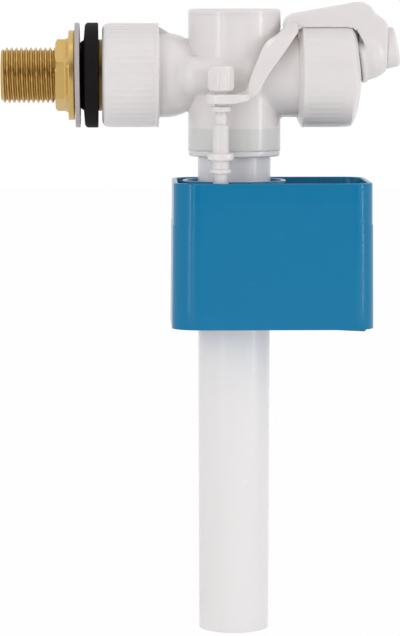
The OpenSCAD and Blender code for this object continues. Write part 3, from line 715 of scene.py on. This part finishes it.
_, _, (lip_low, collar_top) = span("tube_collar")
LIP_R, LIP_HIGH, SOCKET_R, PIPE_R = 17.3, TUBE_LOW + 0.25, 14.9, 13.8
bush = turned([
    (lip_low, PIPE_R + 0.1, 0.3), (lip_low, LIP_R, 0.55), (LIP_HIGH, LIP_R, 0.05), (LIP_HIGH, SOCKET_R),
    (collar_top, SOCKET_R, 0.2), (collar_top, PIPE_R + 0.1, 0.2),
])
piece("lipped_bush", upright(bush, TUBE_X), "tube_collar")

_, _, (foot, head) = span("downpipe")
FOOT_R, PIPE_BORE_R, TAPER_TOP, HEAD_R = 13.3, 12.0, -34.5, 14.9
pipe = turned([
    (foot, PIPE_BORE_R, 0.3), (foot, FOOT_R, 0.35, 24), (TAPER_TOP, PIPE_R), (head - 2, PIPE_R),
    (head - 2, HEAD_R, 0.2), (head, HEAD_R, 0.2), (head, PIPE_BORE_R, 0.2),
])
piece("milky_downpipe", upright(pipe, TUBE_X), "downpipe")

# %% [markdown]
# ## The lever and the pilot end
#
# The lever is one thin-walled moulding: an arm with two cheeks, a hood, a strap round the body and a
# slotted eye. Its shape is free rather than turned, and what the photograph shows is how soft its edges
# are. Its CAD shape is remeshed in small cubes and relaxed a few times with smooth_vert, which rounds
# every edge by about the same amount and leaves the flat faces flat. The knob and the pilot cover are
# done in the same way.


# %% Softened shapes
def softened(node, cube, rounds):
    """A CAD node's shape with all its edges rounded."""
    bm = remeshed(cad_shape(node), cube)
    for _ in range(rounds):
        bmesh.ops.smooth_vert(bm, verts=bm.verts, factor=0.5, use_axis_x=True, use_axis_y=True,
                              use_axis_z=True)
    return bm


lever = softened("lever", 0.36, 5)
print("lever vertices:", len(lever.verts))

# %% [markdown]
# ## The strap's edges
#
# The real strap is slimmer than the plain CAD one, and its edges bend. Both were read off the
# photograph at about ten heights. Each table pairs heights with places along the valve: where the CAD
# strap's left and right edges stand, and where the real ones do. A point between two edges moves in
# proportion. Points further right than the strap's own edge belong to the hood and stay, because they
# would run into the ring when the lever tilts.

# %% Strap edges
CAD_LEFT = ((-4, -1.8, 1.6, 9.7, 11.4, 13.3, 14.9, 16, 18),
            (62.7, 64, 65.1, 65.1, 65.5, 67.1, 71.1, 74.6, 76.5))
REAL_LEFT = ((-4, -1.4, 0.8, 3, 5.2, 7.5, 9.7, 11.9, 13.3, 14.3, 15.8, 18),
             (62.5, 63.1, 64, 64.9, 65.9, 66.8, 67.7, 68.9, 70.2, 71.7, 74.2, 76.5))
CAD_RIGHT = (-8.2, -3.9, 0.1, 3.9, 7.8, 12.5, 16, 18.6), (65.2, 68, 70.3, 73.3, 76.9, 78.9, 81, 82.2)
REAL_RIGHT = ((-8.2, -3.9, -1.4, 0.8, 3, 5.2, 7.5, 9.7, 12.5, 16, 18.6),
              (65.2, 67.6, 69, 70.4, 71.9, 73.6, 75.3, 76.9, 78.9, 81.5, 82.2))
STRAP_FRONT, STRAP_LOW, STRAP_HIGH, STRAP_MARGIN = -9, -4, 18, 1.2


def slanted(x, z):
    """Where a point of the strap stands along the valve once both its edges follow the photograph."""
    left, real_left, right, real_right = (
        float(np.interp(z, *edge)) for edge in (CAD_LEFT, REAL_LEFT, CAD_RIGHT, REAL_RIGHT))
    if x >= right + STRAP_MARGIN:
        return x
    return real_right - (right - x) * (real_right - real_left) / (right - left)


print("strap's left edge on the valve's axis, in mm:", round(slanted(65.1, 2), 2))

# %% [markdown]
# ## Cheeks, eye and foot
#
# Three more places are fitted. The cheeks' lower edges come down until they all but touch the ring, the
# eye's underside rises to the right, and the strap's foot comes forward, so that it runs into the eye
# without a step. Each place could be modelled anew, but a move that fades out to its sides keeps the
# soft edges. All moves are worked out from where a point stood at first.

# %% Cheeks, eye and foot
CHEEK_X, CHEEK_Y, CHEEK_Z = (79, 104), (6.6, 9.5), (14, 22)
CHEEK_LOW, CHEEK_END_X, CHEEK_END_LOW, CHEEK_DROP, CHEEK_GAP = 18.9, 102.5, 18.1, 1.8, 0.1
RING_X, RING_R = (82.2, 83.8, 99.8, 102.3, 103, 104), (18.9, ring_r, ring_r, 19.5, 19.2, 18.9)
EYE_FRONT, EYE_TOP, EYE_LOW, EYE_X0, EYE_X1, EYE_RISE = -18, -6.6, -10.2, 57.0, 64.0, 1.5
STRAP_FOOT_X, STRAP_FOOT_LOW, STRAP_FOOT_TOP, STRAP_FOOT_Y, FORWARD = 61, -8, 3, (-26.5, -22.5), 2.3


def cheek_drop(x, y, z):
    """How far a point of a cheek comes down towards the ring, in millimetres."""
    if not (CHEEK_Y[0] < abs(y) < CHEEK_Y[1] and CHEEK_Z[0] < z < CHEEK_Z[1] and CHEEK_X[0] < x < CHEEK_X[1]):
        return 0.0
    low = CHEEK_LOW if x < CHEEK_END_X else CHEEK_END_LOW
    ring_height = math.sqrt((float(np.interp(x, RING_X, RING_R)) + CHEEK_GAP) ** 2 - y * y)
    share = (1 - step(z, low, CHEEK_Z[1])) * step(x, 80, 81.5) * step(z, CHEEK_Z[0], 15.5)
    return share * min(max(0, low - ring_height), CHEEK_DROP)


def eye_height(x, z):
    """The height of a point of the eye once its underside rises to the right."""
    underside = EYE_LOW + EYE_RISE * min((x - EYE_X0) / (EYE_X1 - EYE_X0), 1)
    return EYE_TOP - (EYE_TOP - z) * (EYE_TOP - underside) / (EYE_TOP - EYE_LOW)


def foot_forward(x, y, z):
    """How far a point of the strap's foot comes forward, in millimetres."""
    depth = float(np.interp(y, STRAP_FOOT_Y, (0, 1)))
    side = step(x, STRAP_FOOT_X, STRAP_FOOT_X + 2)
    return FORWARD * depth * side * (1 - step(z, STRAP_FOOT_LOW, STRAP_FOOT_TOP))


for v in lever.verts:
    x, y, z = v.co / MM
    if y < STRAP_FRONT and STRAP_LOW < z < STRAP_HIGH:
        v.co.x = slanted(x, z) * MM
    v.co.z -= cheek_drop(x, y, z) * MM
    if y < EYE_FRONT and EYE_LOW - 0.3 < z < EYE_TOP and x > EYE_X0:
        v.co.z = eye_height(x, z) * MM
    if x > STRAP_FOOT_X and z < STRAP_FOOT_TOP:
        v.co.y -= foot_forward(x, y, z) * MM
piece("strapped_lever", lever, "lever", crease=80)
piece("end_knob", softened("seal_knob", 0.3, 3), "seal_knob", crease=80)
piece("eared_pilot_cover", softened("pilot_cover", 0.36, 2), "pilot_cover", crease=70)

# %% [markdown]
# ## Thumb wheel
#
# The float's height is set with a ribbed wheel on a screwed rod. The wheel is spun and its skin is
# lifted into ribs, as on the nuts, but deeper.

# %% Wheel
(wheel_x0, wheel_x1), _, (hub_low, wheel_top) = span("thumb_wheel")
ROD_X, ROD_Y, ROD_R = 52.4, -25.2, 2.2
WHEEL_LOW, WHEEL_RIBS, HUB_R = -5.3, 20, 3.2
WHEEL_SKIN, WHEEL_RIB_DEPTH = (wheel_x1 - wheel_x0) / 2 - 0.32, 0.3
ROD_HOLE_R, ROD_HOLE_TOP = ROD_R + 0.06, wheel_top - 2.9


def wheel_radius(along, radius, angle):
    """The thumb wheel's ribs."""
    if abs(radius - WHEEL_SKIN) > 0.02:
        return radius
    fade = step(along, WHEEL_LOW + 0.5, WHEEL_LOW + 1.2) * (1 - step(along, wheel_top - 1.4, wheel_top - 0.7))
    return radius + WHEEL_RIB_DEPTH * ribs(angle, WHEEL_RIBS) * fade


wheel = turned([
    (wheel_top, 0), (wheel_top, WHEEL_SKIN, 0.45), (wheel_top - 0.6, WHEEL_SKIN, 0, 16),
    (WHEEL_LOW + 0.5, WHEEL_SKIN), (WHEEL_LOW, WHEEL_SKIN, 0.3), (WHEEL_LOW, HUB_R, 0.2),
    (hub_low, HUB_R, 0.2),
    (hub_low, ROD_HOLE_R, 0.1), (ROD_HOLE_TOP, ROD_HOLE_R), (ROD_HOLE_TOP, 0),
], steps=WHEEL_RIBS * 10, closed=False)
piece("ribbed_wheel", upright(reshape(wheel, wheel_radius), ROD_X, ROD_Y), "thumb_wheel")

# %% [markdown]
# ## Rod, snap collar and hinge pin
#
# The rod is plain in its bearing and has a coarse screw of 3 mm lead where it works in the float's nut.
# A groove holds the snap collar under the eye. The screw is made like the inlet's thread: a finely cut
# profile is spun and then moved to a helical wave.

# %% Rod and snap collar
_, _, (rod_low, rod_top) = span("adjusting_rod")
(snap_x0, snap_x1), _, (snap_low, snap_high) = span("rod_collar")
SCREW_TOP, SCREW_LEAD, SCREW_DEPTH = -19.0, 3.0, 0.42


def rod_radius(along, radius, angle):
    """The rod's screw, which starts softly below its plain part."""
    if along > SCREW_TOP or radius < ROD_R - 0.5:
        return radius
    depth = SCREW_DEPTH * step(-along, -SCREW_TOP, 3 - SCREW_TOP)
    return radius - depth * (1 - tooth(along / SCREW_LEAD - angle / (2 * math.pi)))


rod = turned([
    (rod_low, 0), (rod_low, ROD_R, 0.5), (rod_low + 0.8, ROD_R, 0, 150), (SCREW_TOP, ROD_R),
    (snap_low - 0.95, ROD_R, 0.1), (snap_low - 0.95, ROD_R - 0.3), (snap_high + 0.1, ROD_R - 0.3),
    (snap_high + 0.1, ROD_R, 0.1), (rod_top, ROD_R, 0.2), (rod_top, 0),
], steps=48, closed=False)
piece("screwed_rod", upright(reshape(rod, rod_radius), ROD_X, ROD_Y), "adjusting_rod")

snap_r = (snap_x1 - snap_x0) / 2
snap = turned([(snap_low, ROD_R - 0.24, 0.15), (snap_low, snap_r, 0.4), (snap_high, snap_r, 0.4),
               (snap_high, ROD_R - 0.24, 0.15)], steps=64)
piece("snap_collar", upright(snap, ROD_X, ROD_Y), "rod_collar")

# %% Hinge pin
PIN_X = 106.8
_, (pin_front, pin_back), (pin_low, pin_high) = span("pivot_pin")
pin_r = (pin_high - pin_low) / 2
pin = turned([(pin_front, 0), (pin_front, pin_r, 0.3), (pin_back, pin_r, 0.3), (pin_back, 0)],
             steps=48, closed=False)
bmesh.ops.transform(pin, verts=pin.verts, matrix=Matrix.Translation((PIN_X * MM, 0, (pin_low + pin_r) * MM))
                    @ Matrix.Rotation(math.pi / 2, 4, "Z"))
piece("hinge_pin", pin, "pivot_pin")

# %% [markdown]
# ## The float
#
# The float is a deep open box with a guide ring round the pipe and a socket for the nut. The box
# starts as a cube: its upright edges are bevelled, its top and bottom are taken off, and the bottom is
# bridged to the round hole for the pipe. Then the sheet gets its wall from solidify, which grows it
# inward. Two faults are left in this bottom, and the CAD float has neither. The bridge's faces cover
# the hole, so the pipe passes through a closed sheet where the real float leaves it room. And 25 points,
# at the hole's edge and at two corners, stand up to 1.6 mm under the bottom.

# %% Float box
(float_x0, float_x1), (float_y0, float_y1), (float_low, float_top) = span("float_cup")
FLOAT_WALL, CORNER_R, HOLE_R, GUIDE_R = 1.6, 9.0, 14.6, 18.1
NUT_SOCKET_R, NUT_SOCKET_TOP = 4.4, -42.1


def edges_where(bm, test):
    """The edges whose two ends, in millimetres, both pass a test."""
    return [e for e in bm.edges if all(test(v.co / MM) for v in e.verts)]


cup = bmesh.new()
bmesh.ops.create_cube(cup, size=1.0)
bmesh.ops.scale(cup, verts=cup.verts, vec=Vector((float_x1 - float_x0, float_y1 - float_y0,
                                                  float_top - float_low)) * MM)
bmesh.ops.translate(cup, verts=cup.verts, vec=Vector((float_x0 + float_x1, float_y0 + float_y1,
                                                      float_low + float_top)) * MM / 2)
upright_edges = [e for e in cup.edges if abs(e.verts[0].co.z - e.verts[1].co.z) > MM]
bmesh.ops.bevel(cup, geom=upright_edges, offset=CORNER_R * MM, offset_type="OFFSET", segments=10,
                profile=0.5, affect="EDGES", material=-1, clamp_overlap=True)
bmesh.ops.delete(cup, geom=[f for f in cup.faces if abs(f.normal.z) > 0.9], context="FACES_ONLY")
walls = [e for e in cup.edges if abs(e.verts[0].co.z - e.verts[1].co.z) > MM]
bmesh.ops.subdivide_edges(cup, edges=walls, cuts=6, use_grid_fill=False)
bmesh.ops.create_circle(cup, segments=64, radius=HOLE_R * MM,
                        matrix=Matrix.Translation((TUBE_X * MM, 0, float_low * MM)))
bottom = edges_where(cup, lambda p: abs(p.z - float_low) < 0.01)
bmesh.ops.bridge_loops(cup, edges=bottom)
bmesh.ops.recalc_face_normals(cup, faces=cup.faces)
middle = Vector((TUBE_X, 0, -67)) * MM
if sum(f.normal.dot(f.calc_center_median() - middle) for f in cup.faces) < 0:
    bmesh.ops.reverse_faces(cup, faces=cup.faces)
bmesh.ops.solidify(cup, geom=cup.faces[:], thickness=FLOAT_WALL * MM)
print("float shell faces:", len(cup.faces), "z from", round(min(v.co.z for v in cup.verts) / MM, 2))


# %% [markdown]
# ## The float's edges and taper
#
# Rim and base get small rounds. As on many deep mouldings the sides are not quite upright: this one is
# a little narrower at its rim, with a fine step where the mould parts, and its foot stands out a trace
# further than the plain CAD box. Two cuts give the step its edges, and then each point is moved
# sideways by its height.

# %% Float edges and taper
def sharp_edges(bm, angle=40):
    """The edges where two faces meet at more than an angle."""
    return [e for e in bm.edges if e.calc_face_angle(0) > math.radians(angle)]


def add_shell(bm, other):
    """Adds the closed shell of another bmesh to this one."""
    mesh = bpy.data.meshes.new("shell")
    other.to_mesh(mesh)
    other.free()
    bm.from_mesh(mesh)
    bpy.data.meshes.remove(mesh)


def edge_at(edge, level):
    """Whether an edge lies at a height in millimetres."""
    return all(abs(v.co.z / MM - level) < 0.01 for v in edge.verts)


LEAN, PARTING_Z, PARTING_STEP = 0.4, -55.3, 0.2
FOOT_X0, FOOT_X1 = 34.2, 109.8
rim = [e for e in sharp_edges(cup) if edge_at(e, float_top)]
bmesh.ops.bevel(cup, geom=rim, offset=0.5 * MM, offset_type="OFFSET", segments=3,
                profile=0.5, affect="EDGES", material=-1, clamp_overlap=True)
base = [e for e in sharp_edges(cup) if edge_at(e, float_low)
        and (e.verts[0].co.xy / MM - Vector((TUBE_X, 0))).length > HOLE_R + 1]
bmesh.ops.bevel(cup, geom=base, offset=1.1 * MM, offset_type="OFFSET", segments=4,
                profile=0.5, affect="EDGES", material=-1, clamp_overlap=True)
for level in (PARTING_Z - 0.2, PARTING_Z + 0.2):
    bmesh.ops.bisect_plane(cup, geom=cup.verts[:] + cup.edges[:] + cup.faces[:], dist=0.001 * MM,
                           plane_co=(0, 0, level * MM), plane_no=(0, 0, 1))
for v in cup.verts:
    level = v.co.z / MM
    lean = LEAN * (level - float_low) / (float_top - float_low) + (PARTING_STEP if level > PARTING_Z else 0)
    v.co.x = float(np.interp(v.co.x / MM, (float_x0, float_x0 + CORNER_R, float_x1 - CORNER_R, float_x1), (
        FOOT_X0 + lean, float_x0 + CORNER_R, float_x1 - CORNER_R, FOOT_X1 - lean))) * MM
print("float's foot in mm: x from", FOOT_X0, "to", FOOT_X1)

# %% [markdown]
# ## Guide ring and socket
#
# A tall ring guides the float on the pipe, and a small socket between two ribs holds the nut. They are
# closed shells that reach a little into the float's bottom, so no boolean has to join them.

# %% Guide and socket
INNER_LOW, INNER_FLOOR, SOCKET_BORE_R = float_low + 0.05, float_low + 3, 3.0
guide = turned([
    (INNER_LOW, HOLE_R + 0.02, 0.3), (INNER_LOW, GUIDE_R + FLOAT_WALL),
    (float_top, GUIDE_R + FLOAT_WALL, 0.5),
    (float_top, GUIDE_R, 0.5), (INNER_FLOOR, GUIDE_R, 0.8), (INNER_FLOOR, HOLE_R + 0.02, 0.3),
])
add_shell(cup, upright(guide, TUBE_X))
socket = turned([
    (INNER_LOW, 0), (INNER_LOW, NUT_SOCKET_R), (NUT_SOCKET_TOP, NUT_SOCKET_R, 0.4),
    (NUT_SOCKET_TOP, SOCKET_BORE_R, 0.4), (INNER_FLOOR, SOCKET_BORE_R), (INNER_FLOOR, 0),
], steps=48, closed=False)
add_shell(cup, upright(socket, ROD_X, ROD_Y))
SOCKET_RIB_X, SOCKET_RIB_WIDTH, SOCKET_RIB_DEPTH = 3.8, 1.1, 4.4
for side in (-1, 1):
    rib = bmesh.new()
    bmesh.ops.create_cube(rib, size=1.0)
    bmesh.ops.scale(rib, verts=rib.verts, vec=Vector((
        SOCKET_RIB_WIDTH, SOCKET_RIB_DEPTH, NUT_SOCKET_TOP - float_low - 0.6)) * MM)
    bmesh.ops.translate(rib, verts=rib.verts, vec=Vector((
        ROD_X + SOCKET_RIB_X * side, ROD_Y - 2.3, (NUT_SOCKET_TOP + float_low) / 2 - 0.1)) * MM)
    add_shell(cup, rib)
piece("open_float", cup, "float_cup", crease=35)

# %% [markdown]
# ## Float nut
#
# The rod screws into a flanged sleeve that clips into the float's socket. It is turned like the rod's
# other parts, with the clip's bead below and the flange that the photograph shows above.

# %% Float nut
_, _, (sleeve_low, sleeve_top) = span("float_nut")
SLEEVE_R, NECK_R, NUT_FLANGE_R, CLIP_R = 2.9, 2.9 + 0.15, 4.9, 3.9
CLIP_LOW, CLIP_HIGH, NUT_FLANGE_LOW, NUT_FLANGE_HIGH = -36, -34.5, -31.1, -28.5
sleeve = turned([
    (sleeve_low, ROD_HOLE_R, 0.2), (sleeve_low, SLEEVE_R, 0.3), (CLIP_LOW, SLEEVE_R, 0.2),
    (CLIP_LOW, CLIP_R, 0.3), (CLIP_HIGH, CLIP_R, 0.3), (CLIP_HIGH, NECK_R, 0.2),
    (NUT_FLANGE_LOW, NECK_R, 0.2), (NUT_FLANGE_LOW, NUT_FLANGE_R, 0.5),
    (NUT_FLANGE_HIGH, NUT_FLANGE_R, 0.5), (NUT_FLANGE_HIGH, SLEEVE_R, 0.3),
    (sleeve_top, SLEEVE_R, 0.35), (sleeve_top, ROD_HOLE_R, 0.2),
], steps=64)
piece("flanged_float_nut", upright(sleeve, ROD_X, ROD_Y), "float_nut")

# %% [markdown]
# ## Floor and backdrop
#
# The photograph is a cut-out on white. The floor and the world are white to the camera and to
# reflections, and give only a plain level of light to the object.


# %% Floor and world
def white_to_camera(tree, lit, output, strength=1.0):
    """Mixes plain white emission over a shader, for what the camera and reflections see."""
    path = tree.nodes.new("ShaderNodeLightPath")
    camera_ray, glossy_ray, through_ray = (
        Sock(tree, path.outputs[name]) for name in ("Is Camera Ray", "Is Glossy Ray", "Is Transmission Ray"))
    share = (camera_ray + glossy_ray + through_ray).clamp() * strength
    glow = tree.nodes.new("ShaderNodeEmission" if lit.type != "BACKGROUND" else "ShaderNodeBackground")
    glow.inputs["Strength"].default_value = 1.0
    glow.inputs["Color"].default_value = (1, 1, 1, 1)
    mix = tree.nodes.new("ShaderNodeMixShader")
    tree.links.new(share.socket, mix.inputs[0])
    tree.links.new(lit.outputs[0], mix.inputs[1])
    tree.links.new(glow.outputs[0], mix.inputs[2])
    tree.links.new(mix.outputs[0], output.inputs["Surface"])


WORLD_LIGHT = 0.66
world = bpy.data.worlds.new("studio")
world.use_nodes = True
bpy.context.scene.world = world
background = world.node_tree.nodes["Background"]
background.inputs["Color"].default_value = (1, 1, 1, 1)
background.inputs["Strength"].default_value = WORLD_LIGHT
white_to_camera(world.node_tree, background, world.node_tree.nodes["World Output"])

# %% Floor
FLOOR_GAP, FLOOR_SIZE = 0.5 * MM, 6.0


def sheet(name, width, height, material):
    """A flat rectangle of that size in metres."""
    bm = bmesh.new()
    bmesh.ops.create_grid(bm, x_segments=1, y_segments=1, size=0.5)
    bmesh.ops.scale(bm, verts=bm.verts, vec=(width, height, 1))
    mesh = bpy.data.meshes.new(name)
    bm.to_mesh(mesh)
    bm.free()
    mesh.materials.append(material)
    obj = bpy.data.objects.new(name, mesh)
    bpy.context.scene.collection.objects.link(obj)
    return obj


paper = Shader("white paper floor", Base_Color=(0.93, 0.93, 0.93, 1), Roughness=0.9)
white_to_camera(paper.tree, paper.principled, paper.tree.nodes["Material Output"], 0.97)
floor = sheet("floor", FLOOR_SIZE, FLOOR_SIZE, paper.material)
floor.location.z = cad_box[0].z - FLOOR_GAP
print("floor at z in mm:", round(floor.location.z / MM, 1))

# %% [markdown]
# ## A dark card
#
# In an all-white room glossy white plastic mirrors only white, and its form is lost. Photographers hang
# something dark behind the camera. This card is seen by reflections alone, so it throws no shadow and
# takes no light away.

# %% Dark card
CARD_PLACE, CARD_WIDTH, CARD_HEIGHT = (0.05, -1.9, 0.15), 3.2, 2.2
card_paper = Shader("dark card", Base_Color=(0.05, 0.045, 0.04, 1), Roughness=0.9)
card = sheet("dark card", CARD_WIDTH, CARD_HEIGHT, card_paper.material)
card.location = CARD_PLACE
card.rotation_euler = (math.radians(90), 0, 0)
card.visible_camera = card.visible_diffuse = card.visible_shadow = False
print("card in mm:", round(CARD_WIDTH / MM), "by", round(CARD_HEIGHT / MM))

# %% [markdown]
# ## Lights
#
# The tall strips left and right draw the long upright highlights on the tube and the float's corners,
# and the thin one between them adds the fine streak beside the left one. A large weak light in front
# fills, one low on the right lifts the underside of the ring, and one overhead edges the tops. White
# plastic lights itself in its corners, which takes more diffuse bounces than usual.


# %% Lights
def soft_box(name, place, size, power, aim=(0.055, 0, -0.03)):
    """A square area light that faces the valve."""
    light = bpy.data.objects.new(name, bpy.data.lights.new(name, "AREA"))
    bpy.context.scene.collection.objects.link(light)
    light.data.shape = "RECTANGLE"
    light.data.size, light.data.size_y = size
    light.data.energy = power
    light.location = place
    light.rotation_mode = "QUATERNION"
    light.rotation_quaternion = (Vector(place) - Vector(aim)).to_track_quat("Z", "Y")
    return light


LIGHTS = (
    ("left strip", (-0.67, -0.83, 0.06), (0.05, 0.9), 1.8),
    ("right strip", (1.06, -0.45, 0.06), (0.08, 0.9), 2.4),
    ("front", (0.3, -1.5, 0.1), (0.9, 0.9), 0.9),
    ("low right", (0.5, -0.3, -0.16), (0.4, 0.08), 0.07),
    ("middle strip", (-0.45, -0.97, 0.06), (0.014, 0.9), 0.8),
    ("top strip", (0.05, -0.25, 1.05), (0.9, 0.08), 0.5),
)
for light in LIGHTS:
    soft_box(*light)
bpy.context.scene.view_settings.view_transform = "Standard"
bpy.context.scene.cycles.diffuse_bounces = 10
print("lights:", len(LIGHTS))
